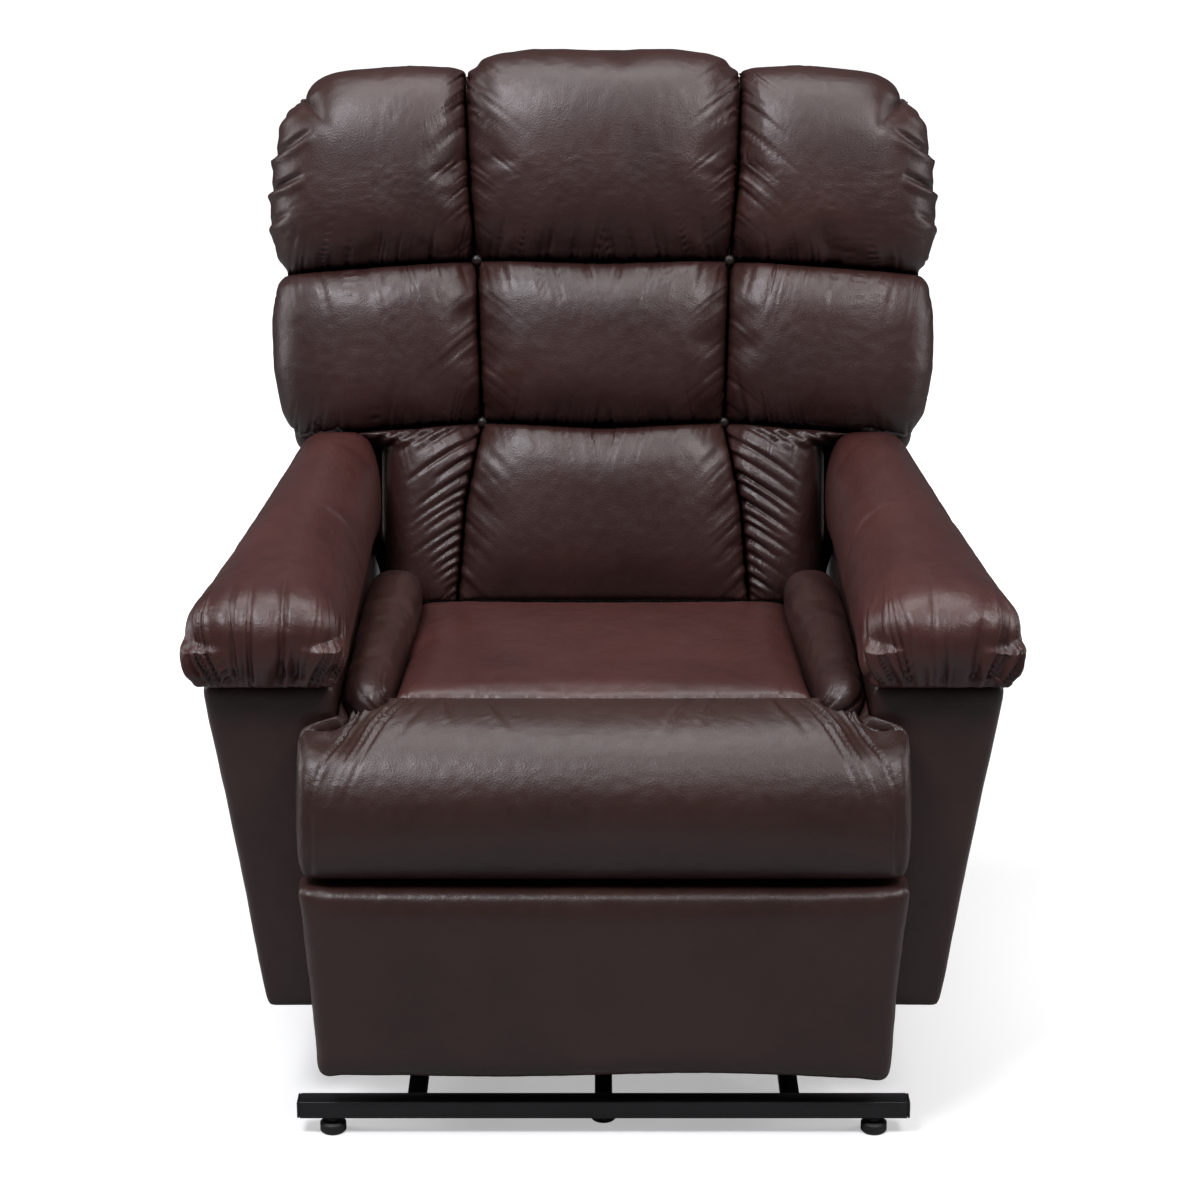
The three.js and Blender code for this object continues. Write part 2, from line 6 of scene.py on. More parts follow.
import bmesh
import bpy
import numpy as np
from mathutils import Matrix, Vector


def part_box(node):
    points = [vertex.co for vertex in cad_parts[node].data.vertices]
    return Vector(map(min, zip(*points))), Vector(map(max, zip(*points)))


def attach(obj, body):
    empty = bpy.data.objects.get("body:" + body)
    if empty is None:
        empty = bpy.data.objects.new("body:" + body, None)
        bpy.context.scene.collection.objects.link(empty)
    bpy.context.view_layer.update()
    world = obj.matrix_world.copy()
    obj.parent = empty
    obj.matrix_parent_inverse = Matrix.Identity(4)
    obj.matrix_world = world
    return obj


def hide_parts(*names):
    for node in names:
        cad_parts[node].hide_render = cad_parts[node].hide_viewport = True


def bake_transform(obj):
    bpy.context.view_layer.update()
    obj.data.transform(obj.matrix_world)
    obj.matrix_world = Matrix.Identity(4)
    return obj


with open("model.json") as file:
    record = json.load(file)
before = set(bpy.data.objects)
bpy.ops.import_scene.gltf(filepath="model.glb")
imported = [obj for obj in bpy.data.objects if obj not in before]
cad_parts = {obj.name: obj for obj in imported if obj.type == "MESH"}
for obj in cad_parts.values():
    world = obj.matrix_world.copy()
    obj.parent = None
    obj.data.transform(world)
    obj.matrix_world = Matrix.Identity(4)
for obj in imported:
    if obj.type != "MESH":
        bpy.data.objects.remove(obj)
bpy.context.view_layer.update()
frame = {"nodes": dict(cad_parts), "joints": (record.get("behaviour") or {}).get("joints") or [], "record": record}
nodes = frame["nodes"]
scene = bpy.context.scene


def joint(name):
    return next(j for j in frame["joints"] if j["name"] == name)


def add_node(tree, kind, inputs=None, **settings):
    """Adds a shader node. inputs gives its sockets their values, or the sockets that feed them."""
    made = tree.nodes.new("ShaderNode" + kind)
    for key, value in settings.items():
        setattr(made, key, value)
    for key, value in (inputs or {}).items():
        if isinstance(value, bpy.types.NodeSocket):
            tree.links.new(value, made.inputs[key])
        else:
            made.inputs[key].default_value = value
    return made


# ---- camera, light and floor ----

CAMERA_PLACE = (-0.004, -3.616, 1.604)
CAMERA_PITCH = 17  # degrees below the horizon
CAMERA_LENS = 91.8
SENSOR = 36


def make_camera():
    data = bpy.data.cameras.new("camera")
    data.lens = CAMERA_LENS
    data.sensor_width = SENSOR
    camera = bpy.data.objects.new("camera", data)
    camera.location = CAMERA_PLACE
    camera.rotation_euler = (math.radians(90 - CAMERA_PITCH), 0, 0)
    scene.collection.objects.link(camera)
    scene.camera = camera


def area_light(name, place, target, size, watts, color=(1, 1, 1)):
    data = bpy.data.lights.new(name, "AREA")
    data.shape = "RECTANGLE"
    data.size, data.size_y = size
    data.energy = watts
    data.color = color
    lamp = bpy.data.objects.new(name, data)
    lamp.location = place
    lamp.rotation_euler = (Vector(target) - Vector(place)).to_track_quat("-Z", "Y").to_euler()
    scene.collection.objects.link(lamp)


def split_by_ray(tree, output, others, camera):
    """Shows the camera's rays one shader, and all other rays another."""
    ray = add_node(tree, "LightPath").outputs["Is Camera Ray"]
    pick = add_node(tree, "MixShader", {0: ray, 1: others.outputs[0], 2: camera.outputs[0]})
    tree.links.new(pick.outputs[0], tree.nodes[output].inputs[0])


def floor_paint():
    """White paper that the camera sees bright, with a painted soft shadow by the chair, and the chair sees dim."""
    paint = Paint("floor_white")
    distance = paint.node("VectorMath", {0: paint.place}, operation="LENGTH").outputs["Value"]
    # Painted shadow: the floor's glow is weaker near the chair, so the floor greys there without any light being
    # cast.
    fade = {"Value": distance, "From Min": 0.7, "From Max": 2.6, "To Min": 0.40, "To Max": 1.0}
    glow_with_painted_shadow = paint.node("MapRange", fade, interpolation_type="SMOOTHSTEP").outputs["Result"]
    paint.set(
        base_color=(0.72, 0.72, 0.725, 1),
        roughness=0.8,
        specular_ior_level=0.1,
        emission_color=(1, 1, 1, 1),
        emission_strength=glow_with_painted_shadow,
    )
    dim = paint.node("BsdfDiffuse", {"Color": (0.3, 0.3, 0.3, 1)})
    split_by_ray(paint.tree, "Material Output", dim, paint.shader)
    return paint.material


def make_studio():
    world = bpy.data.worlds.new("studio")
    scene.world = world
    world.use_nodes = True
    tree = world.node_tree
    light = tree.nodes["Background"]
    light.inputs["Color"].default_value = (0.93, 0.95, 1, 1)
    light.inputs["Strength"].default_value = 0.10
    backdrop = add_node(tree, "Background", {"Color": (1, 1, 1, 1), "Strength": 1.05})
    split_by_ray(tree, "World Output", light, backdrop)

    aim = (0, 0, 0.6)
    area_light("key", (-1.5, -1.9, 3.9), aim, (1.5, 1.1), 126, (0.95, 0.95, 1))
    area_light("fill", (1.8, -1.8, 3.6), aim, (1.3, 1.1), 76, (1, 0.96, 0.97))
    area_light("top", (0, 0.1, 3.2), aim, (2.2, 1.4), 50)
    area_light("left edge", (-3.0, 0.4, 1.7), aim, (1.2, 2.2), 40)
    area_light("right edge", (3.0, 0.4, 1.7), aim, (1.2, 2.2), 30)

    floor = bpy.data.meshes.new("floor")
    reach = 12
    corners = [(-reach, -reach, 0), (reach, -reach, 0), (reach, reach, 0), (-reach, reach, 0)]
    floor.from_pydata(corners, [], [(0, 1, 2, 3)])
    plane = bpy.data.objects.new("floor", floor)
    scene.collection.objects.link(plane)
    floor.materials.append(floor_paint())
    scene.view_settings.view_transform = "Standard"


# ---- materials ----


class Paint:
    """A material and the nodes that most of its finishes are made of."""

    def __init__(self, name):
        self.material = bpy.data.materials.new(name)
        self.material.use_nodes = True
        self.tree = self.material.node_tree
        self.shader = self.tree.nodes["Principled BSDF"]
        self.place = self.node("TexCoord").outputs["Object"]

    def node(self, kind, inputs=None, **settings):
        return add_node(self.tree, kind, inputs, **settings)

    def noise(self, scale, detail=3, roughness=0.5, place=None):
        values = {"Vector": place or self.place, "Scale": scale, "Detail": detail, "Roughness": roughness}
        return self.node("TexNoise", values).outputs["Fac"]

    def ramp(self, value, low, high, to_low, to_high):
        values = {"Value": value, "From Min": low, "From Max": high, "To Min": to_low, "To Max": to_high}
        return self.node("MapRange", values).outputs["Result"]

    def blend(self, factor, low, high):
        first, second = 6, 7  # a colour mix's own sockets: each type has its own pair named A and B
        colors = {0: factor, first: (*low, 1), second: (*high, 1)}
        return self.node("Mix", colors, data_type="RGBA").outputs[2]

    def bump(self, height, distance, strength=1, under=None):
        values = {"Height": height, "Distance": distance, "Strength": strength}
        if under is not None:
            values["Normal"] = under
        return self.node("Bump", values).outputs["Normal"]

    def set(self, **values):
        for key, value in values.items():
            socket = self.shader.inputs[key.replace("_", " ").title().replace("Ior", "IOR")]
            if isinstance(value, bpy.types.NodeSocket):
                self.tree.links.new(value, socket)
            else:
                socket.default_value = value
        return self.material


def leather(name, dark, light):
    """Semi-gloss upholstery leather: pebble grain, pores, faint creases and an uneven dye."""
    paint = Paint(name)
    pebbles = paint.node("TexVoronoi", {"Vector": paint.place, "Scale": 520.0}, feature="SMOOTH_F1")
    pores = paint.noise(1500, 2, 0.6)
    creases = paint.noise(26, 5, 0.62)
    dye = paint.ramp(paint.noise(7, 4, 0.6), 0.3, 0.7, 0, 1)
    grain = paint.bump(pebbles.outputs["Distance"], 0.0007, 0.30)
    grain = paint.bump(pores, 0.00025, 0.35, grain)
    surface = paint.bump(creases, 0.0012, 0.06, grain)
    gloss = paint.ramp(paint.noise(60, 4, 0.6), 0.3, 0.7, 0.35, 0.45)
    return paint.set(
        base_color=paint.blend(dye, dark, light),
        roughness=gloss,
        specular_ior_level=0.44,
        normal=surface,
        coat_weight=0.05,
        coat_roughness=0.30,
    )


def powder_coat(name="black_powder_coat"):
    paint = Paint(name)
    orange_peel = paint.bump(paint.noise(700, 2), 0.0003, 0.25)
    gloss = paint.ramp(paint.noise(30, 3), 0.3, 0.7, 0.28, 0.4)
    tone = paint.blend(paint.noise(12, 3), (0.008, 0.008, 0.009), (0.016, 0.016, 0.018))
    return paint.set(base_color=tone, roughness=gloss, normal=orange_peel, metallic=0.25)


def zinc(name="zinc_plate"):
    paint = Paint(name)
    stretched = paint.node("Mapping", {"Vector": paint.place, "Scale": (1, 0.05, 1)}).outputs[0]
    brushed = paint.noise(900, 3, 0.6, stretched)
    tone = paint.blend(paint.noise(18, 4), (0.36, 0.37, 0.38), (0.55, 0.56, 0.57))
    gloss = paint.ramp(brushed, 0.3, 0.7, 0.26, 0.42)
    return paint.set(base_color=tone, roughness=gloss, metallic=1, normal=paint.bump(brushed, 0.0002, 0.3))


def plywood(name="plywood"):
    paint = Paint(name)
    stretched = paint.node("Mapping", {"Vector": paint.place, "Scale": (0.12, 1, 1)}).outputs[0]
    grain = paint.noise(60, 6, 0.65, stretched)
    tone = paint.blend(paint.ramp(grain, 0.3, 0.7, 0, 1), (0.30, 0.19, 0.09), (0.56, 0.40, 0.23))
    return paint.set(base_color=tone, roughness=0.65, normal=paint.bump(grain, 0.0006, 0.4))


def plastic(name, tone, roughness, texture):
    """Moulded plastic: a fine spark-eroded texture over a nearly even colour."""
    paint = Paint(name)
    spark = paint.noise(1300, 2, 0.6)
    darker = tuple(c * 0.8 for c in tone)
    gloss = paint.ramp(paint.noise(90, 3), 0.3, 0.7, roughness - 0.05, roughness + 0.05)
    base = paint.blend(paint.noise(25, 3), darker, tone)
    return paint.set(base_color=base, roughness=gloss, normal=paint.bump(spark, 0.0003, texture))


leathers = {
    "back": leather("leather_back", (0.022, 0.0080, 0.0070), (0.034, 0.0128, 0.0110)),
    # The arm leather, which the seat also takes, is lighter and redder than the back's and the front's: partly a
    # redder dye, partly painted light standing for the top light on these upward faces.
    "arm": leather("leather_arm_dye_and_painted_light", (0.034, 0.0100, 0.0088), (0.054, 0.0165, 0.0145)),
    "front": leather("leather_front", (0.024, 0.0098, 0.0080), (0.034, 0.0146, 0.0120)),
    "button": leather("leather_button", (0.010, 0.0060, 0.0055), (0.014, 0.0080, 0.0070)),
}
finishes = {
    "leather": leathers["back"],
    "black_steel": powder_coat(),
    "zinc_steel": zinc(),
    "wood": plywood(),
    "black_plastic": plastic("black_plastic", (0.014, 0.014, 0.015), 0.45, 0.5),
    "grey_plastic": plastic("grey_plastic", (0.33, 0.34, 0.36), 0.35, 0.2),
    "rubber": plastic("foot_rubber", (0.012, 0.012, 0.012), 0.5, 0.6),
}
slot_of = {row["node"]: row["material_slot"] for row in frame["record"]["subparts"]}
members = frame["record"]["behaviour"]["bodies"]
body_of = {node: body for body, group in members.items() for node in group}


# ---- mesh helpers ----


@contextmanager
def edited(mesh):
    """A mesh as a bmesh, written back afterwards."""
    work = bmesh.new()
    work.from_mesh(mesh)
    yield work
    work.to_mesh(mesh)
    work.free()


def smooth_faces(mesh):
    for face in mesh.polygons:
        face.use_smooth = True


def paint_over(mesh, material):
    mesh.materials.clear()
    mesh.materials.append(material)


def make_object(name, points, faces, material):
    mesh = bpy.data.meshes.new(name)
    mesh.from_pydata([tuple(p) for p in points], [], faces)
    mesh.materials.append(material)
    made = bpy.data.objects.new(name, mesh)
    scene.collection.objects.link(made)
    with edited(mesh) as work:
        bmesh.ops.recalc_face_normals(work, faces=work.faces)
    smooth_faces(mesh)
    return made


def copy_of(node, name, material):
    """A copy of a CAD piece, to be changed."""
    made = bpy.data.objects.new(name, nodes[node].data.copy())
    scene.collection.objects.link(made)
    paint_over(made.data, material)
    return made


def apply_modifiers(made):
    result = bpy.data.meshes.new_from_object(made.evaluated_get(bpy.context.evaluated_depsgraph_get()))
    made.modifiers.clear()
    made.data = result


def read_vectors(data, field):
    values = np.empty(len(data) * 3, dtype=np.float32)
    data.foreach_get(field, values)
    return values.reshape(-1, 3).astype(float)


def write_points(mesh, points):
    mesh.vertices.foreach_set("co", points.astype(np.float32).ravel())
    mesh.update()


def points_at(x, y, z):
    return np.stack([x, y, z], axis=1)


def finish_piece(made, body, replaced=()):
    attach(made, body)
    if replaced:
        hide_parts(*replaced)


def box_lattice(half, step):
    """The surface of a box as a grid of squares: points from -1 to 1 each way, and faces."""
    counts = [max(3, round(2 * h / step)) for h in half]
    points = []
    known = {}
    faces = []

    def corner(key):
        if key not in known:
            known[key] = len(points)
            points.append([2 * k / n - 1 for k, n in zip(key, counts)])
        return known[key]

    for axis in range(3):
        across, along = [d for d in range(3) if d != axis]
        for side in (0, counts[axis]):
            for i in range(counts[across]):
                for j in range(counts[along]):
                    face = []
                    for di, dj in ((0, 0), (1, 0), (1, 1), (0, 1)):
                        key = [0, 0, 0]
                        key[axis], key[across], key[along] = side, i + di, j + dj
                        face.append(corner(tuple(key)))
                    faces.append(face)
    return np.array(points), faces


def round_off(unit, half, radius, power):
    """Rounds a box's edges. radius holds each axis's radius, or a row of three for every point."""
    half = np.array(half)
    radius = np.minimum(np.array(radius), half * 0.999)
    place = np.abs(unit) * half
    depth = np.clip((place - (half - radius)) / radius, 0, None)
    largest = depth.max(axis=1)
    norm = (depth**power).sum(axis=1) ** (1 / power)
    shrink = np.where(norm > 0, largest / np.maximum(norm, 1e-9), 1)[:, None]
    rounded = np.where(depth > 0, half - radius + radius * depth * shrink, place)
    return np.sign(unit) * rounded / half


def share(unit, axis):
    """Places from -1 to 1 along an axis, as 0 to 1."""
    return (unit[:, axis] + 1) / 2


def smooth_step(value, low, high):
    t = np.clip((value - low) / (high - low), 0, 1)
    return t * t * (3 - 2 * t)


# ---- folds in the leather ----
# Each returns how far a point stands out (above zero) or sinks in, in metres.


def gathers(along, away, spacing, reach, depth, seed, slant=0.0):
    """Short creases that start at a seam and fade. away is the distance from the seam."""
    rng = np.random.default_rng(seed)
    place = (along + slant * away) / spacing
    for pitch, shift in ((0.37, 0.45), (0.13, 0.8)):  # makes the spacing uneven
        place = place + shift * np.sin(place * pitch * 2 * math.pi + rng.uniform(0, 6.3))
    numbers = np.arange(-200, 200)  # more creases than any seam has
    lengths = rng.uniform(0.35, 1.25, len(numbers))
    strengths = rng.uniform(0.3, 1.1, len(numbers))
    valley = (1 - np.abs(np.sin(math.pi * place))) ** 1.1
    reach_here = reach * np.interp(place, numbers, lengths)
    strength = np.interp(place, numbers, strengths)
    fade = np.exp(-((np.maximum(away, 0) / reach_here) ** 2))
    return -depth * strength * valley * fade


def crease(a, b, start, end, depth, width, lip=0.4):
    """One fold from start to end, with a raised lip beside it. a and b are the points' two coordinates."""
    direction = np.array(end) - np.array(start)
    length = np.linalg.norm(direction)
    direction = direction / length
    da, db = a - start[0], b - start[1]
    along = (da * direction[0] + db * direction[1]) / length
    aside = db * direction[0] - da * direction[1] - 0.12 * length * (along - along**2)
    taper = np.clip(1 - along, 0, 1) ** 0.7 * smooth_step(along, -0.5, 0.0)
    taper = np.where((along > 1) | (along < -0.5), 0, taper)
    groove = -depth * np.exp(-((aside / width) ** 2))
    raised = lip * depth * np.exp(-(((aside - 2.1 * width) / (1.6 * width)) ** 2))
    return taper * (groove + raised)


# ---- sewn cushions ----

# look says how a cushion is made: step is its mesh size, cap how far its cloth may move it, spare and
# gathered how much longer its leather is than the shape, in the middle and at the seams, folds(points,
# normals) what is laid in afterwards, fill how tightly it is stuffed (not used), and bends the joint that it
# crosses; a cushion with bends is left where it is made, tied to no body.

CLOTH_FRAMES = 22
waiting = []  # cushions whose cloth is simulated together


def queue_cushion(name, points, faces, held, amount, body, replaced, material, look):
    rng = np.random.default_rng(look.get("seed", 1))
    ripple = rng.normal(0, look.get("ripple", 0.0002), points.shape)
    points = points + ripple * (~held)[:, None]
    made = make_object(name, points, faces, material)
    job = {"piece": made, "held": held, "amount": amount, "start": points, "look": look}
    job.update(body=body, replaced=replaced)
    waiting.append(job)
    return job


def stuffed_box(name, half, radius, place, pinned, body, replaced, material, **look):
    """A stuffed leather box.

    half and radius size the rounded box it starts from, in metres. place(unit) turns the rounded box's
    points, from -1 to 1 each way, into the chair's frame, and pinned(unit, points) marks those held still.
    """
    unit, faces = box_lattice(half, look.get("step", 0.0058))
    size = radius(unit) if callable(radius) else radius
    points = place(round_off(unit, half, size, look.get("power", 2.4)))
    gather = look.get("gather")
    amount = gather(unit, points) if gather else np.zeros(len(points))
    queue_cushion(name, points, faces, pinned(unit, points), amount, body, replaced, material, look)


def sewn_pad(name, counts, surface, back, body, replaced, material, **look):
    """A stuffed pad sewn down all round.

    surface(s, t) gives its face's points for s and t from -1 to 1, in the chair's frame, and back(points)
    moves the points of its edge to where it closes behind.
    """
    columns, rows = counts
    s, t = np.meshgrid(np.linspace(-1, 1, columns + 1), np.linspace(-1, 1, rows + 1))
    s, t = s.ravel(), t.ravel()
    front = surface(s, t)
    wide = columns + 1
    faces = []
    for j in range(rows):
        for i in range(columns):
            a = j * wide + i
            faces.append((a, a + 1, a + 1 + wide, a + wide))
    rim = list(range(wide))
    rim += [j * wide + columns for j in range(1, rows + 1)]
    rim += [rows * wide + i for i in range(columns - 1, -1, -1)]
    rim += [j * wide for j in range(rows - 1, 0, -1)]
    behind = back(front[rim])
    first = len(front)
    centre = first + len(rim)
    for k in range(len(rim)):
        after = (k + 1) % len(rim)
        faces.append((rim[k], rim[after], first + after, first + k))
        faces.append((first + k, first + after, centre))
    points = np.vstack([front, behind, behind.mean(axis=0)])
    held = np.ones(len(points), dtype=bool)
    held[:first] = (np.abs(s) > 0.9999) | (np.abs(t) > 0.9999)
    edge = np.zeros(len(points))
    edge[:first] = np.maximum(smooth_step(np.abs(s), 0.6, 1), smooth_step(np.abs(t), 0.6, 1))
    job = queue_cushion(name, points, faces, held, edge, body, replaced, material, look)
    job["hub"] = centre


def add_cloth(job):
    piece, look = job["piece"], job["look"]
    pins = piece.vertex_groups.new(name="held")
    pins.add([int(i) for i in np.flatnonzero(job["held"])], 1, "REPLACE")
    taut = piece.vertex_groups.new(name="taut")
    amount = job["amount"].round(2)
    for weight in np.unique(amount):
        taut.add([int(i) for i in np.flatnonzero(amount == weight)], float(1 - weight), "REPLACE")
    cloth = piece.modifiers.new("cloth", "CLOTH")
    rules = cloth.settings
    rules.quality = 5
    rules.mass = 0.3
    rules.tension_stiffness = 25
    rules.compression_stiffness = 25
    rules.shear_stiffness = 8
    rules.bending_stiffness = look.get("stiff", 0.6)
    rules.use_pressure = True
    rules.uniform_pressure_force = look.get("pressure", 4)
    rules.effector_weights.gravity = 0
    rules.vertex_group_mass = "held"
    rules.vertex_group_shrink = "taut"
    rules.shrink_min = -look.get("gathered", look.get("spare", 0.05))
    rules.shrink_max = -look.get("spare", 0.05)
    rules.air_damping = 2
    cloth.collision_settings.use_collision = False
    cloth.collision_settings.use_self_collision = False
    cloth.point_cache.frame_start = 1
    cloth.point_cache.frame_end = CLOTH_FRAMES


def remove_point(mesh, index):
    with edited(mesh) as work:
        work.verts.ensure_lookup_table()
        bmesh.ops.delete(work, geom=[work.verts[index]], context="VERTS")


def close_opening(mesh):
    with edited(mesh) as work:
        bmesh.ops.holes_fill(work, edges=[edge for edge in work.edges if edge.is_boundary])


def even_out(mesh, values, passes):
    """Averages each point's values with its neighbours', several times over."""
    ends = np.empty(len(mesh.edges) * 2, dtype=np.int32)
    mesh.edges.foreach_get("vertices", ends)
    a, b = ends.reshape(-1, 2).T
    count = np.bincount(np.concatenate([a, b]), minlength=len(values))[:, None]
    for _ in range(passes):
        total = np.zeros_like(values)
        np.add.at(total, a, values[b])
        np.add.at(total, b, values[a])
        values = 0.5 * values + 0.5 * total / np.maximum(count, 1)
    return values


def settle(job):
    """Freezes a cushion's cloth, keeps every point within its cap, smooths the mesh and lays in its folds."""
    piece, look = job["piece"], job["look"]
    if piece.modifiers:
        apply_modifiers(piece)
    step = read_vectors(piece.data.vertices, "co") - job["start"]
    length = np.linalg.norm(step, axis=1, keepdims=True)
    cap = look.get("cap", 0.022)
    step = step * cap * np.tanh(length / cap) / np.maximum(length, 1e-9)
    step = even_out(piece.data, step, look.get("even", 8)) * (~job["held"])[:, None]
    write_points(piece.data, job["start"] + step)
    if "hub" in job:  # a fan of many triangles would make the subdivision slow
        remove_point(piece.data, job["hub"])
    finer = piece.modifiers.new("finer", "SUBSURF")
    finer.levels = finer.render_levels = 1
    apply_modifiers(piece)
    if "hub" in job:
        close_opening(piece.data)
    if "folds" in look:
        points = read_vectors(piece.data.vertices, "co")
        normals = read_vectors(piece.data.vertices, "normal")
        write_points(piece.data, points + normals * look["folds"](points, normals)[:, None])
    piece.vertex_groups.clear()
    smooth_faces(piece.data)


def simulate_cushions():
    for job in waiting:
        add_cloth(job)
    for number in range(1, CLOTH_FRAMES + 1):
        scene.frame_set(number)
    for job in waiting:
        settle(job)
    scene.frame_set(1)


def finish_cushions():
    for job in waiting:
        piece, look = job["piece"], job["look"]
        if "bends" in look:
            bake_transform(piece)
            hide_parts(*job["replaced"])
        else:
            finish_piece(piece, job["body"], job["replaced"])


# ---- the back ----
# u runs backwards through the leaning back and v up it, both from the recline hinge.

HINGE = Vector(joint("recline")["pos_m"])
LEAN = math.radians(16)
SEAM_U = -0.075
REAR_U = 0.007  # the pillows' backs sit this far behind the board's front
UPRIGHT_SEAM = ([0.040, 0.160, 0.263, 0.470, 0.560, 0.720], [0.188, 0.178, 0.156, 0.163, 0.172, 0.179])
SIDE_EDGE = (
    [0.243, 0.275, 0.330, 0.400, 0.440, 0.457, 0.475, 0.510, 0.580, 0.640, 0.760],
    [0.396, 0.415, 0.425, 0.427, 0.421, 0.410, 0.421, 0.430, 0.427, 0.420, 0.405],
)
TOP_EDGE = ([0, 0.09, 0.135, 0.165, 0.180, 0.200, 0.250, 0.330, 0.380, 0.430],
            [0.746, 0.745, 0.740, 0.730, 0.718, 0.721, 0.723, 0.718, 0.711, 0.700])


def to_world(x, u, v):
    y = HINGE.y + u * math.cos(LEAN) + v * math.sin(LEAN)
    z = HINGE.z - u * math.sin(LEAN) + v * math.cos(LEAN)
    return points_at(x, y, z)


def from_world(points):
    y, z = points[:, 1] - HINGE.y, points[:, 2] - HINGE.z
    u = y * math.cos(LEAN) - z * math.sin(LEAN)
    v = y * math.sin(LEAN) + z * math.cos(LEAN)
    return points[:, 0], u, v


def upright_seam(v):
    """Half the distance between the two upright seams."""
    return np.interp(v, *UPRIGHT_SEAM)


def head_seam(x):
    """Height of the seam under the head pillows."""
    return np.interp(np.abs(x), [0, 0.162, 0.412], [0.468, 0.472, 0.454])


def waist_seam(x):
    """Height of the seam over the lumbar pillows."""
    return np.interp(np.abs(x), [0, 0.154, 0.400], [0.256, 0.263, 0.243])


def side_edge(v):
    """Half width of the back at height v."""
    return np.interp(v, *SIDE_EDGE)


def top_edge(x):
    return np.interp(np.abs(x), *TOP_EDGE)


def edge_profile(w, kind, drop, wrap):
    """Place across and depth behind the crown, from a pillow's middle (0) to its edge (1).

    A sewn edge drops to its seam. A free one curves round to the back, past its widest place.
    """
    if kind == "sewn":
        return w, drop * (1 - np.sqrt(np.clip(1 - w**3, 0, 1)))
    angle = w * math.radians(122)
    power = 2 / 2.7
    place = np.sin(angle) ** power
    front = wrap * (1 - np.clip(np.cos(angle), 0, 1) ** power)
    behind = 0.06 * np.clip(-np.cos(angle), 0, 1) ** power
    return place, front + behind


def two_sided(w, kinds, drop, wrap):
    low_place, low_drop = edge_profile(np.clip(-w, 0, 1), kinds[0], drop, wrap)
    high_place, high_drop = edge_profile(np.clip(w, 0, 1), kinds[1], drop, wrap)
    return np.where(w < 0, -low_place, high_place), np.where(w < 0, low_drop, high_drop)


def round_corner(x, v, corner, size):
    """Rounds the outline's outer top corner at (x, v) = corner. size is how far along x and v it starts."""
    dx = np.clip((x - corner[0]) / size[0] + 1, 0, None)
    dv = np.clip((v - corner[1]) / size[1] + 1, 0, None)
    scale = np.maximum(dx, dv) / np.maximum((dx**2.2 + dv**2.2) ** (1 / 2.2), 1e-9)
    both = (dx > 0) & (dv > 0)
    new_x = np.where(both, corner[0] - size[0] + size[0] * dx * scale, x)
    new_v = np.where(both, corner[1] - size[1] + size[1] * dv * scale, v)
    return new_x, new_v


def back_folds(seed, tucks=()):
    """Gathers along the seams of the back, and the tucks at the head's outer sides."""

    def folds(points, normals):
        x, _, v = from_world(points)
        side = np.abs(x)
        facing = smooth_step(-normals[:, 1], -0.15, 0.2)
        upright = np.abs(side - upright_seam(v))
        strong = 0.40 + 0.60 * smooth_step(v, 0.52, 0.60) + 0.25 * smooth_step(-v, -0.26, -0.2)
        moved = strong * gathers(v, upright, 0.0135, 0.040, 0.0060, seed, 0.85)
        for row, (seam, below) in enumerate(((head_seam, 0.85), (waist_seam, 1.0))):
            away = v - seam(x)
            amount = np.where(away > 0, 1.0, below)
            moved = moved + amount * gathers(side, np.abs(away), 0.0130, 0.038, 0.0052, seed + 7 + row, 0.25)
        for start, end, depth in tucks:
            moved = moved + crease(side, v, start, end, depth, 0.0042, 0.5)
        return moved * facing

    return folds


# Tucks at the head's outer sides: (x, v) where each starts and ends, and its depth.
HEAD_TUCKS = (
    ((0.436, 0.603), (0.372, 0.634), 0.013),
    ((0.440, 0.561), (0.382, 0.578), 0.011),
    ((0.414, 0.668), (0.362, 0.701), 0.009),
    ((0.424, 0.650), (0.384, 0.676), 0.007),
    ((0.436, 0.520), (0.400, 0.530), 0.004),
)


def button_place(seam):
    """Where a button sits: the place (x, v) at which a level seam crosses the right upright one."""
    v = float(seam(0.16))
    return float(upright_seam(v)), v


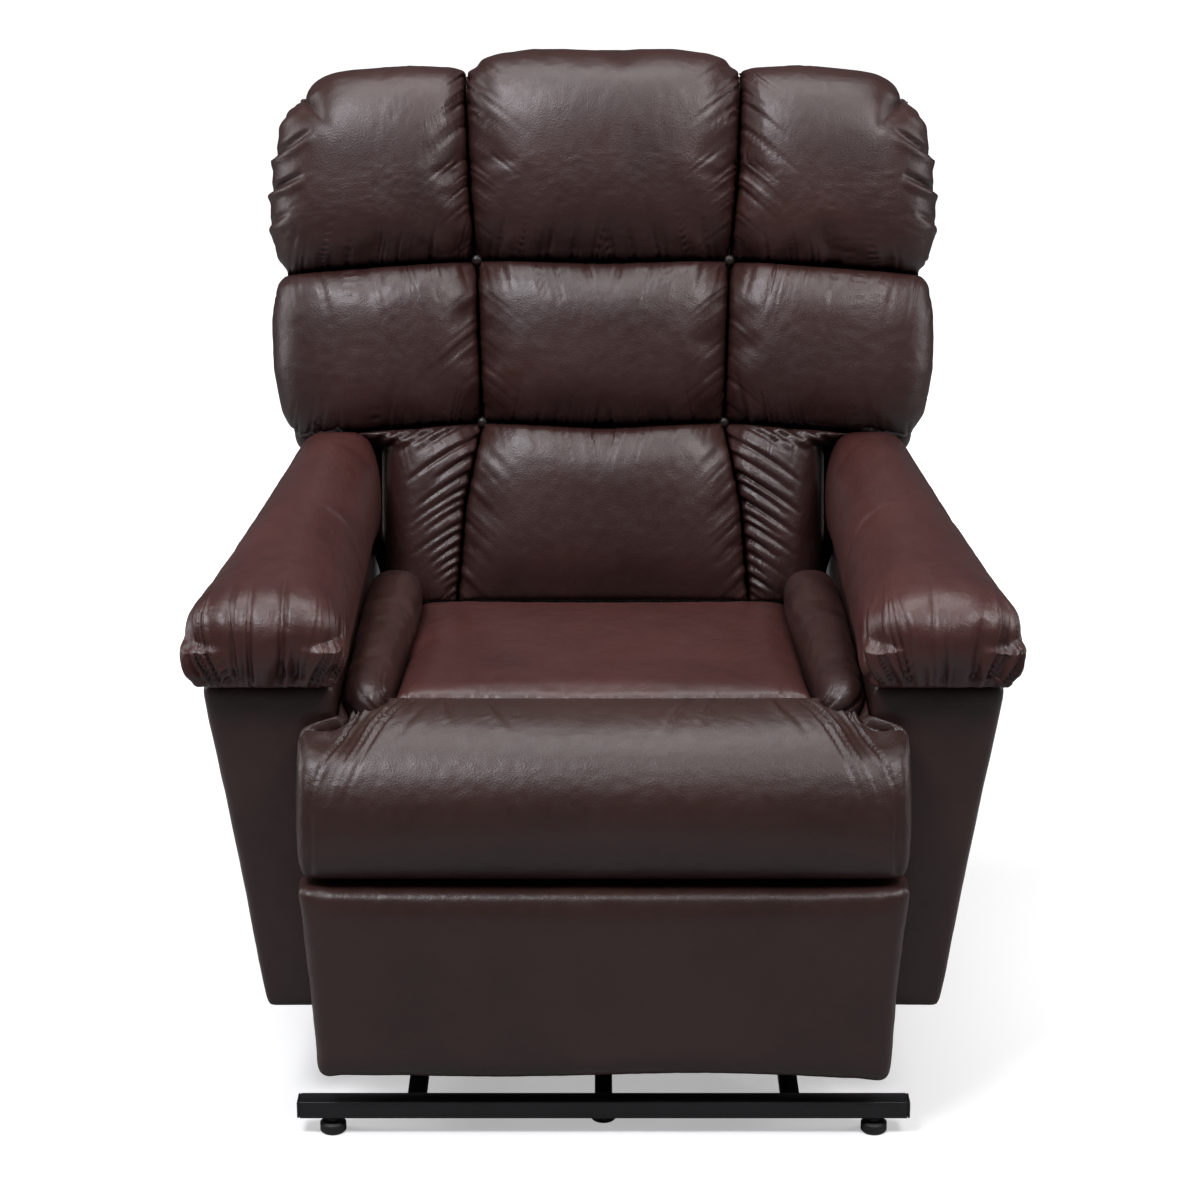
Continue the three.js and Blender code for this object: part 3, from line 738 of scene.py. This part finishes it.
def back_pillow(name, column, bottom, top, crown_u, replaced, **look):
    """One pillow of the back. column is -1, 0 or 1, and crown_u is how far forward its middle stands."""
    half_gap = 0.0003  # between two pillows' edges
    free_top = look.pop("free_top", False)
    outer = look.pop("outer", side_edge)
    side = column or 1
    low_v, high_v = float(bottom(0.0)), float(top(0.0))
    drop = SEAM_U - crown_u
    wrap = look.pop("wrap", -0.03 - crown_u)
    across_kinds = ("sewn", "free" if column else "sewn")
    upright_kinds = ("sewn", "free" if free_top else "sewn")
    deepest = wrap + 0.032
    side_corner = (float(outer(0.7)), 0.706)
    inner_corner = (float(upright_seam(0.72)), 0.736)

    def surface(s, t):
        across, a = two_sided(s * side if column else s, across_kinds, drop, wrap)
        rise, b = two_sided(t, upright_kinds, drop, wrap)
        v = low_v + (high_v - low_v) * (rise + 1) / 2
        for _ in range(5):  # the seams curve, so x and v settle together
            seam = upright_seam(v) + half_gap * (1 if column else -1)
            near = seam if column else -seam
            far = outer(v) if column else seam
            x = near + (far - near) * (across + 1) / 2
            v = bottom(x) + half_gap + (top(x) - bottom(x) - 2 * half_gap) * (rise + 1) / 2
        worst = deepest if (column or free_top) else drop
        u = crown_u + a + b - a * b / worst
        if free_top and column:
            x, v = round_corner(x, v, side_corner, (0.075, 0.085))
        if free_top and not column:
            x_right, v = round_corner(np.abs(x), v, inner_corner, (0.030, 0.030))
            x = np.sign(x) * x_right
        for button_x, button_v in map(button_place, (head_seam, waist_seam)):
            distance = np.hypot(np.abs(x) - button_x, v - button_v)
            u = u + 0.020 * np.exp(-((distance / 0.030) ** 2))
        return to_world(side * x if column else x, np.minimum(u, 0.004), v)

    def back(rim):
        x, _, v = from_world(rim)
        middle_x, middle_v = x.mean(), v.mean()
        closer = 0.997
        x = middle_x + (x - middle_x) * closer
        return to_world(x, np.full_like(v, REAR_U), middle_v + (v - middle_v) * closer)

    width = float(outer(low_v + 0.05)) - 0.17 if column else 0.34
    round_edge = 0.12  # how much further the leather runs where it turns round to the back
    step = look.pop("step", 0.0056)
    across_length = width + (round_edge if column else 0)
    upright_length = high_v - low_v + (round_edge if free_top else 0)
    counts = [round(across_length / step), round(upright_length / step)]
    look.setdefault("seed", 10 + column)
    sewn_pad(name, counts, surface, back, "back", replaced, leathers["back"], **look)


COLUMNS = {"left": -1, "center": 0, "right": 1}
SIDES = (("left", -1), ("right", 1))


def make_back_pillows():
    stuffing = {"cap": 0.018, "spare": 0.012, "gathered": 0.045, "stiff": 1.2}
    for word, column in COLUMNS.items():
        tucks = HEAD_TUCKS if column else ()
        back_pillow(
            "head_pillow_" + word, column, head_seam, top_edge, -0.106, ["head_pillow"], free_top=True,
            seed=21 + column, folds=back_folds(21 + column, tucks), **stuffing,
        )
        back_pillow(
            "middle_pillow_" + word, column, waist_seam, head_seam, -0.102, ["middle_pillow"],
            seed=31 + column, folds=back_folds(31 + column), **stuffing,
        )
    bottom_v = 0.028

    def lumbar_bottom(x):
        return np.full_like(x, bottom_v)

    def lumbar_side(v):
        return 0.281 + 0.10 * smooth_step(v, 0.226, 0.260)

    def diagonal_pleats(seed):
        """Creases that run down and outwards from the upright seam, closer and shorter towards the seat."""
        rng = np.random.default_rng(seed)
        seams = back_folds(seed)
        count = 15
        pleats = [((0.176 + 0.024 * k, 0.262), 0.075, 0.0060) for k in range(4)]
        v = 0.246
        for k in range(count):
            low_down = k / (count - 1)
            length = (0.096 * (1 - low_down) ** 0.8 + 0.016) * rng.uniform(0.6, 1.2)
            start = (float(upright_seam(v)) - 0.004, v)
            pleats.append((start, length, (0.0070 - 0.0030 * low_down) * rng.uniform(0.45, 1.15)))
            v -= (0.0190 - 0.0070 * low_down) * rng.uniform(0.7, 1.3)

        def folds(points, normals):
            x, _, v = from_world(points)
            side = np.abs(x)
            facing = smooth_step(-normals[:, 1], 0.0, 0.3)
            moved = seams(points, normals) * 0.35
            for start, length, depth in pleats:
                end = (start[0] + 0.84 * length, start[1] - 0.54 * length)
                moved = moved + crease(side, v, start, end, depth, 0.0030, 0.25) * facing
            return moved

        return folds

    stuffing = {"spare": 0.010, "gathered": 0.04, "stiff": 1.2, "wrap": 0.05, "outer": lumbar_side}
    for word, column in COLUMNS.items():
        if column:
            crown = -0.090
            stuffing.update(cap=0.003, step=0.0042, folds=diagonal_pleats(41 + column))
        else:
            crown = -0.098
            stuffing.update(cap=0.014, step=0.0060, folds=back_folds(41))
        back_pillow(
            "lumbar_pillow_" + word, column, lumbar_bottom, waist_seam, crown, ["lumbar_pillow"],
            seed=41 + column, **stuffing,
        )


def make_tuft_buttons():
    rim, height, sunk = 0.0070, 0.004, -0.051
    turns, rings = 24, 8
    spots = []
    faces = []
    for ring in range(rings + 1):
        angle = math.pi * (ring + 0.5) / (rings + 1)
        r, u = rim * math.sin(angle), sunk - height * math.cos(angle)
        for turn in range(turns):
            around = 2 * math.pi * turn / turns
            spots.append((r * math.cos(around), u, r * math.sin(around)))
    for ring in range(rings):
        for turn in range(turns):
            a = ring * turns + turn
            b = ring * turns + (turn + 1) % turns
            faces.append((a, b, b + turns, a + turns))
    faces.append(list(range(turns)))
    faces.append(list(range(rings * turns, (rings + 1) * turns)))
    x, u, v = np.array(spots).T
    for row, seam in (("upper", head_seam), ("lower", waist_seam)):
        button_x, button_v = button_place(seam)
        for word, side in SIDES:
            name = f"tuft_button_{row}_{word}"
            world = to_world(side * button_x + x, u, button_v + v)
            finish_piece(make_object(name, world, faces, leathers["button"]), "back")


def make_back_cover():
    """The outer cover behind the pillows: a wide upper part and a narrower skirt below it."""
    front, rear = 0.002, 0.079
    waist, top = 0.224, 0.722
    half_wide = 0.408
    half_deep = (rear - front) / 2
    half_high = (top - waist) / 2

    def upper(unit):
        u = front + half_deep * (unit[:, 1] + 1)
        v = waist + half_high * (unit[:, 2] + 1)
        return to_world(unit[:, 0] * half_wide, u, v)

    def upper_radius(unit):
        lower = unit[:, 2] < 0
        wide = np.where(lower, 0.03, 0.09)
        return points_at(wide, np.full(len(unit), 0.034), wide)

    stuffed_box(
        "back_cover_upper", (half_wide, half_deep, half_high), upper_radius, upper,
        lambda unit, points: (unit[:, 1] < 0.3) | (unit[:, 2] < -0.999), "back", ["back_outer_cover"],
        leathers["back"], step=0.011, cap=0.004, spare=0.008, pressure=1, ripple=0.0002, fill=0.3, seed=51,
    )

    skirt_front, skirt_bottom = 0.062, -0.045
    tucked_top = waist + 0.014  # the lower parts end inside the upper one

    def skirt(unit):
        v = skirt_bottom + (tucked_top - skirt_bottom) * share(unit, 2)
        half_width = 0.226 + (0.294 - 0.226) * smooth_step(v, 0.03, 0.06)
        u = skirt_front + (rear - 0.001 - skirt_front) * share(unit, 1)
        return to_world(unit[:, 0] * half_width, u, v)

    stuffed_box(
        "back_cover_skirt", (0.26, 0.008, 0.148), (0.02, 0.0075, 0.02), skirt,
        lambda unit, points: unit[:, 1] < 0.9, "back", ["back_outer_cover"], leathers["back"], step=0.011,
        cap=0.002, spare=0.008, pressure=0.5, ripple=0.0002, fill=0.2, seed=52,
    )

    def side_wall(unit):
        v = 0.03 + (tucked_top - 0.03) * share(unit, 2)
        u = REAR_U - 0.004 + (0.07 - REAR_U) * share(unit, 1)
        return to_world(unit[:, 0] * 0.2945, u, v)

    stuffed_box(
        "back_cover_sides", (0.27, 0.03, 0.11), (0.012, 0.012, 0.012), side_wall,
        lambda unit, points: unit[:, 1] > -2, "back", ["back_outer_cover"], leathers["back"], step=0.012,
        cap=0.001, fill=0.2, seed=53,
    )


# ---- arms ----


def make_arm_pillows():
    for word, side in SIDES:
        node = "arm_pillow_" + word
        low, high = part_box(node)
        inner, outer = sorted((abs(low.x), abs(high.x)))
        length = high.y - low.y
        panel_top, front_y = low.z, low.y
        half = (0.5 * (outer - inner), 0.5 * length, 0.062)
        rear_inner, rear_outer = 0.287, 0.400
        shy = 0.004  # left for the stuffing to swell into

        def place(unit, side=side):
            y = front_y + shy + (length - 1.5 * shy) * share(unit, 1)
            along = (y - front_y) / length
            near = inner + shy + (rear_inner - inner) * along + 0.004 * math.pi * along * (1 - along)
            far = outer - shy + (rear_outer - outer) * smooth_step(along, 0.0, 1.1)
            x = near + (far - near) * share(unit, 0)
            top = 0.106 + 0.036 * smooth_step(along, 0.1, 0.95)
            z = panel_top - 0.006 + (top + 0.006) * share(unit, 2)
            return points_at(side * x, y, np.maximum(z, panel_top + 0.0015))

        def radius(unit):
            above, rearward = unit[:, 2] > 0, unit[:, 1] > 0
            across = np.where(above, np.where(rearward & (unit[:, 0] < 0), 0.062, 0.078), 0.030)
            lengthwise = np.where(rearward, 0.018, np.where(above, 0.070, 0.030))
            return points_at(across, lengthwise, np.full(len(unit), 0.058))

        def pinned(unit, points):
            return points[:, 2] < panel_top + 0.003

        def gather(unit, points):
            front = 1 - smooth_step(points[:, 1], front_y + 0.03, front_y + 0.10)
            low_part = 1 - smooth_step(points[:, 2], panel_top + 0.02, panel_top + 0.085)
            return front * low_part

        def folds(points, normals, side=side):
            x = np.abs(points[:, 0]) - 0.5 * (inner + outer)
            height = points[:, 2] - panel_top
            near_front = 1 - smooth_step(points[:, 1], front_y + 0.045, front_y + 0.105)
            fan = x / (0.62 + 4.6 * np.clip(height, 0, 0.10)) + 0.10 * height * np.sin(x * 60)
            around = fan + 0.7 * (points[:, 1] - front_y) * np.sign(x) * smooth_step(np.abs(x), 0.05, 0.08)
            rising = np.maximum(height - 0.012, 0)
            deep = gathers(around, rising, 0.0210, 0.085, 0.0120, 161 + side)
            fine = gathers(around, rising, 0.0115, 0.045, 0.0060, 165 + side)
            along_side = gathers(points[:, 1], height, 0.016, 0.016, 0.003, 67 + side)
            sewn = smooth_step(height, -0.001, 0.014)
            return (near_front * (deep + fine) + (1 - near_front) * along_side) * sewn

        # The arm leather's lighter tone is partly painted light from above.
        stuffed_box(
            node + "_leather", half, radius, place, pinned, "chair_frame", [node], leathers["arm"],
            power=2.6, gather=gather, gathered=0.06, spare=0.010, cap=0.012, seed=61 + side, fill=0.8,
            folds=folds, step=0.0052, stiff=1.2,
        )


def make_arm_panels():
    for word, side in SIDES:
        node = "arm_panel_" + word
        spots = np.array([v.co for v in nodes[node].data.vertices])
        spots[:, 0] = np.abs(spots[:, 0])
        low, high = spots.min(0), spots.max(0)

        def outermost(y, z):
            near = (np.abs(spots[:, 1] - y) < 0.002) & (np.abs(spots[:, 2] - z) < 0.002)
            return spots[near, 0].max()

        corners = [[outermost(y, z) for z in (low[2], high[2])] for y in (low[1], high[1])]

        def place(unit, side=side):
            along, rise = share(unit, 1), share(unit, 2)
            at_front = corners[0][0] + (corners[0][1] - corners[0][0]) * rise
            at_rear = corners[1][0] + (corners[1][1] - corners[1][0]) * rise
            outer = at_front + (at_rear - at_front) * along
            bulge = 0.003 * (1 - unit[:, 1] ** 4) * (1 - unit[:, 2] ** 2) * (unit[:, 0] > 0)
            x = low[0] + (outer - low[0]) * share(unit, 0) + bulge
            y = low[1] + (high[1] - low[1]) * along
            z = low[2] + (high[2] - low[2]) * rise
            return points_at(side * x, y, z)

        half = (0.065, (high[1] - low[1]) / 2, (high[2] - low[2]) / 2)
        stuffed_box(
            node + "_leather", half, (0.009, 0.009, 0.009), place,
            lambda unit, points: (unit[:, 0] < 0.999) & (unit[:, 1] > -0.999), "chair_frame", [node],
            leathers["front"], step=0.011, cap=0.004, spare=0.010, pressure=0.6, ripple=0.0002, fill=0.3,
            seed=71 + side,
        )


# ---- seat ----

SEAT_SEAM_Y = -0.331  # where the seat's top meets the front roll


def seat_height(y):
    return np.interp(y, [SEAT_SEAM_Y, 0.16], [0.489, 0.453])


def make_seat():
    low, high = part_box("seat_cushion")
    rear = 0.147
    half_wide = high.x - 0.001
    half = (half_wide, (rear - SEAT_SEAM_Y) / 2, 0.05)

    def place(unit):
        y = SEAT_SEAM_Y + (rear - SEAT_SEAM_Y) * share(unit, 1)
        top = seat_height(y) - 0.003
        z = low.z + (top - low.z) * share(unit, 2)
        z = z + 0.007 * (1 - unit[:, 0] ** 2) * (1 - unit[:, 1] ** 2) * (unit[:, 2] > 0)
        narrower = 0.004 * smooth_step(y, 0.0, rear)
        return points_at(unit[:, 0] * (half_wide - narrower), y, z)

    def pinned(unit, points):
        return (unit[:, 2] < 0.7) & (np.abs(unit[:, :2]).max(axis=1) > 0.999) | (unit[:, 2] < -0.999)

    def folds(points, normals):
        up = smooth_step(normals[:, 2], 0.2, 0.7)
        front_seam = gathers(points[:, 0], points[:, 1] - SEAT_SEAM_Y, 0.0075, 0.022, 0.0030, 83)
        sides = gathers(points[:, 1], half_wide - np.abs(points[:, 0]), 0.012, 0.012, 0.0015, 84)
        return up * (front_seam + sides)

    # The seat takes the arm leather, whose lighter tone is partly painted light from above.
    stuffed_box(
        "seat_pad", half, (0.014, 0.012, 0.012), place, pinned, "chair_frame", ["seat_cushion"],
        leathers["arm"], step=0.0065, cap=0.008, spare=0.016, pressure=2, seed=81, folds=folds,
    )


def make_bolsters():
    for word, side in SIDES:
        node = "seat_bolster_" + word
        low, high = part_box(node)
        inner, outer = sorted((abs(low.x), abs(high.x)))
        inner -= 0.003
        front, rear, bottom, top = low.y + 0.004, 0.150, low.z, high.z

        def place(unit, side=side):
            y = front + (rear - front) * share(unit, 1)
            lean = 0.010 * smooth_step(y, -0.30, 0.10)
            x = inner - lean + (outer - inner + lean) * share(unit, 0)
            crest = top - 0.006 - 0.012 * smooth_step(y, 0.05, rear)
            z = bottom + (crest - bottom) * share(unit, 2)
            return points_at(side * x, y, z)

        def pinned(unit, points):
            return points[:, 2] < seat_height(points[:, 1]) - 0.006

        def folds(points, normals, side=side):
            x = np.abs(points[:, 0]) - inner
            near_front = 1 - smooth_step(points[:, 1], front + 0.02, front + 0.10)
            height = points[:, 2] - 0.480
            radial = np.arctan2(x + 0.01, height + 0.02) * 0.05
            return near_front * gathers(radial, np.abs(height), 0.0085, 0.035, 0.0045, 95 + side)

        half = ((outer - inner) / 2, (rear - front) / 2, (top - bottom) / 2)
        stuffed_box(
            node + "_leather", half, (0.026, 0.05, 0.034), place, pinned, "chair_frame", [node],
            leathers["back"], step=0.0055, cap=0.006, spare=0.03, seed=91 + side, folds=folds,
        )


# ---- legrest ----


def even_path(points, value):
    """Points along a polyline, evenly by length, for values from 0 to 1."""
    points = np.array(points)
    steps = np.linalg.norm(np.diff(points, axis=0), axis=1)
    along = np.concatenate([[0], np.cumsum(steps)]) / steps.sum()
    return np.stack([np.interp(value, along, points[:, k]) for k in range(2)], axis=1)


def smooth_path(points, count=60):
    """A smooth curve through the points, by Catmull-Rom segments of count steps each."""
    points = [Vector(p) for p in points]
    points = [2 * points[0] - points[1]] + points + [2 * points[-1] - points[-2]]
    curve = []
    for a, b, c, d in zip(points, points[1:], points[2:], points[3:]):
        for k in range(count):
            t = k / count
            curve.append(0.5 * (2 * b + (c - a) * t + (2 * a - 5 * b + 4 * c - d) * t**2
                                + (3 * b - a - 3 * c + d) * t**3))
    curve.append(points[-2])
    return [tuple(p) for p in curve]


# Light creases in the front roll: (x, distance from the seat's seam) at each end, and the depth.
ROLL_CREASES = (
    ((-0.173, 0.012), (-0.166, 0.075), 0.0030),
    ((-0.128, 0.020), (-0.100, 0.085), 0.0022),
    ((0.100, 0.018), (0.070, 0.095), 0.0026),
    ((0.128, 0.015), (0.112, 0.080), 0.0022),
    ((-0.215, 0.010), (-0.222, 0.060), 0.0028),
    ((0.196, 0.010), (0.208, 0.065), 0.0028),
)


def make_front_roll():
    """The roll from the seat's front seam, over the legrest's hinge and down its upper half."""
    low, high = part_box("calf_roll")
    face = low.y + 0.008  # left for the stuffing to swell into
    skin = smooth_path([
        (SEAT_SEAM_Y + 0.001, 0.484), (-0.345, 0.4880), (-0.375, 0.487), (-0.412, 0.477), (-0.446, 0.453),
        (face + 0.012, 0.420), (face + 0.002, 0.385), (face, 0.350), (face + 0.006, 0.327),
        (face + 0.022, low.z + 0.001),
    ])
    core = smooth_path([
        (SEAT_SEAM_Y - 0.002, 0.470), (-0.36, 0.468), (-0.390, 0.455), (-0.402, 0.42), (-0.404, 0.36),
        (-0.415, low.z + 0.003),
    ])
    half_wide = high.x - 0.002
    between_arms = 0.297

    def place(unit):
        along = (1 - unit[:, 2]) / 2
        outside = even_path(skin, along)
        section = outside + (even_path(core, along) - outside) * share(unit, 1)[:, None]
        wide = between_arms + (half_wide - between_arms) * smooth_step(-section[:, 0], 0.384, 0.412)
        wide = wide - 0.004 * smooth_step(along, 0.85, 1)
        return points_at(unit[:, 0] * wide, section[:, 0], section[:, 1])

    def pinned(unit, points):
        return (unit[:, 1] > 0.3) | (np.abs(unit[:, 2]) > 0.999)

    def folds(points, normals):
        x, side = points[:, 0], np.abs(points[:, 0])
        front = smooth_step(-normals[:, 1] + 0.6 * normals[:, 2], 0.2, 0.6)
        down = np.hypot(points[:, 1] - SEAT_SEAM_Y, points[:, 2] - 0.489)
        corner = smooth_step(side, 0.185, 0.235)
        fan = side - 0.45 * down
        moved = corner * gathers(fan, down - 0.02, 0.0150, 0.085, 0.0125, 105)
        moved = moved + 0.5 * gathers(side, down, 0.0085, 0.018, 0.002, 106)
        hollow = np.exp(-(((side - 0.300) / 0.028) ** 2)) * smooth_step(down, 0.02, 0.06)
        moved = moved - 0.014 * hollow * (1 - smooth_step(down, 0.085, 0.13))
        for start, end, depth in ROLL_CREASES:
            moved = moved + crease(x, down, start, end, depth, 0.0045, 0.8)
        near_side = half_wide - side
        moved = moved - 0.004 * np.exp(-(((near_side - 0.014) / 0.004) ** 2)) * smooth_step(down, 0.12, 0.2)
        return moved * front

    hinge = joint("legrest")["pos_m"]
    bends = {
        "bodies": ("chair_frame", "footrest"),
        "start": (0, hinge[1] + 0.07, hinge[2] + 0.005),
        "end": (0, hinge[1] - 0.03, hinge[2] - 0.055),
    }
    stuffed_box(
        "front_roll", (half_wide, 0.04, 0.16), (0.022, 0.022, 0.010), place, pinned, "footrest",
        ["calf_roll"], leathers["front"], step=0.0056, cap=0.010, spare=0.003, pressure=3, stiff=1.2,
        seed=101, bends=bends, folds=folds,
    )


def make_footrest_pad():
    low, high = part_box("footrest_pad")
    wide_top = high.x
    wide_bottom = 0.324

    def place(unit):
        rise = share(unit, 2)
        wide = wide_bottom + (wide_top - wide_bottom) * rise
        x = unit[:, 0] * wide
        y = low.y - 0.006 + (high.y - low.y + 0.006) * share(unit, 1)
        wave = 0.0022 * np.sin(x * 14) * (1 - rise)
        z = low.z - 0.006 + (high.z - low.z + 0.008) * rise + wave
        return points_at(x, y, z)

    def radius(unit):
        same = np.ones(len(unit))
        return points_at(0.016 * same, 0.014 * same, np.where(unit[:, 2] > 0, 0.010, 0.020))

    def folds(points, normals):
        away = high.z - points[:, 2]
        return smooth_step(-normals[:, 1], 0.2, 0.7) * gathers(points[:, 0], away, 0.014, 0.014, 0.0014, 115)

    stuffed_box(
        "footrest_pad_leather", (0.332, 0.028, 0.114), radius, place, lambda unit, points: unit[:, 1] > 0.3,
        "footrest", ["footrest_pad"], leathers["front"], step=0.0062, cap=0.006, spare=0.010, pressure=2,
        seed=111, folds=folds,
    )


# ---- rear panel, hand control pocket and the pieces that stay hard ----


def make_rear_panel():
    low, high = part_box("rear_panel")
    centre = np.array((low + high) / 2)
    half = np.array((high - low) / 2)
    stuffed_box(
        "rear_panel_leather", tuple(half), (0.006, 0.006, 0.006), lambda unit: centre + unit * half,
        lambda unit, points: unit[:, 1] < 0.5, "chair_frame", ["rear_panel"], leathers["back"], step=0.012,
        cap=0.002, spare=0.01, pressure=0.4, ripple=0.0001, fill=0.2, seed=121,
    )


SHARP = math.radians(32)  # edges sharper than this stay crisp


def make_handset_pocket():
    """The leather pocket on the left arm: soft edges, a fuller front, and a hem sewn round its mouth."""
    panel = read_vectors(nodes["arm_panel_left"].data.vertices, "co")
    low_z, high_z = panel[:, 2].min(), panel[:, 2].max()
    widest = [-panel[np.abs(panel[:, 2] - z) < 0.002, 0].min() for z in (low_z, high_z)]
    lean = math.atan2(widest[1] - widest[0], high_z - low_z)
    up = np.array([-math.sin(lean), 0, math.cos(lean)])
    outward = np.array([-math.cos(lean), 0, -math.sin(lean)])

    made = copy_of("handset_pocket", "handset_pocket_leather", leathers["front"])
    even = made.modifiers.new("even", "REMESH")
    even.mode = "VOXEL"
    even.voxel_size = 0.0013
    soft = made.modifiers.new("soft", "SMOOTH")
    soft.iterations = 5
    apply_modifiers(made)

    points = read_vectors(made.data.vertices, "co")
    normals = read_vectors(made.data.vertices, "normal")
    rise, depth = points @ up, points @ outward
    below_mouth = rise.max() - rise
    height = rise.max() - rise.min()
    near, far = points[:, 1].min(), points[:, 1].max()
    front_wall = smooth_step(depth, depth.max() - 0.006, depth.max() - 0.002)
    across = (2 * points[:, 1] - near - far) / (far - near)
    swell = 0.0030 * (1 - across**2) * np.sin(math.pi * below_mouth / height)
    outside = smooth_step(np.maximum(normals @ outward, np.abs(across) - 0.9), 0.02, 0.1)
    hem, seam_wide = 0.010, 0.0009
    turned_over = 0.0006 * smooth_step(-below_mouth, -hem, -hem + seam_wide)
    seam = 0.0011 * np.exp(-(((below_mouth - hem) / seam_wide) ** 2))
    moved = front_wall * swell * outward[:, None] + ((turned_over - seam) * outside) * normals.T
    write_points(made.data, points + moved.T)
    smooth_faces(made.data)
    finish_piece(made, "chair_frame", ["handset_pocket"])


def smooth_copy(node, width, segments=2):
    """A copy of a CAD piece with softly rounded edges."""
    made = copy_of(node, node + "_finished", finishes[slot_of[node]])
    with edited(made.data) as work:
        bmesh.ops.remove_doubles(work, verts=work.verts, dist=1e-6)
        bmesh.ops.dissolve_limit(work, angle_limit=math.radians(1), verts=work.verts, edges=work.edges)
    bevel = made.modifiers.new("edge", "BEVEL")
    bevel.width = width
    bevel.segments = segments
    bevel.limit_method = "ANGLE"
    bevel.angle_limit = math.radians(40)
    bevel.harden_normals = False
    apply_modifiers(made)
    smooth_faces(made.data)
    made.data.set_sharp_from_angle(angle=SHARP)
    finish_piece(made, body_of[node], [node])


def dress_cad_nodes():
    """Every CAD piece that stays takes its material, and smooth shading on its round faces."""
    for name, node in nodes.items():
        paint_over(node.data, finishes[slot_of[name]])
        smooth_faces(node.data)
        node.data.set_sharp_from_angle(angle=SHARP)


make_camera()
make_studio()
dress_cad_nodes()
make_back_pillows()
make_tuft_buttons()
make_back_cover()
make_arm_pillows()
make_arm_panels()
make_seat()
make_bolsters()
make_front_roll()
make_footrest_pad()
make_rear_panel()
simulate_cushions()
finish_cushions()
make_handset_pocket()
for bar in ("base_front_bar", "base_rear_frame", "front_bar_end_cap_left", "front_bar_end_cap_right"):
    smooth_copy(bar, 0.0016)
smooth_copy("handset_body", 0.0022, 3)
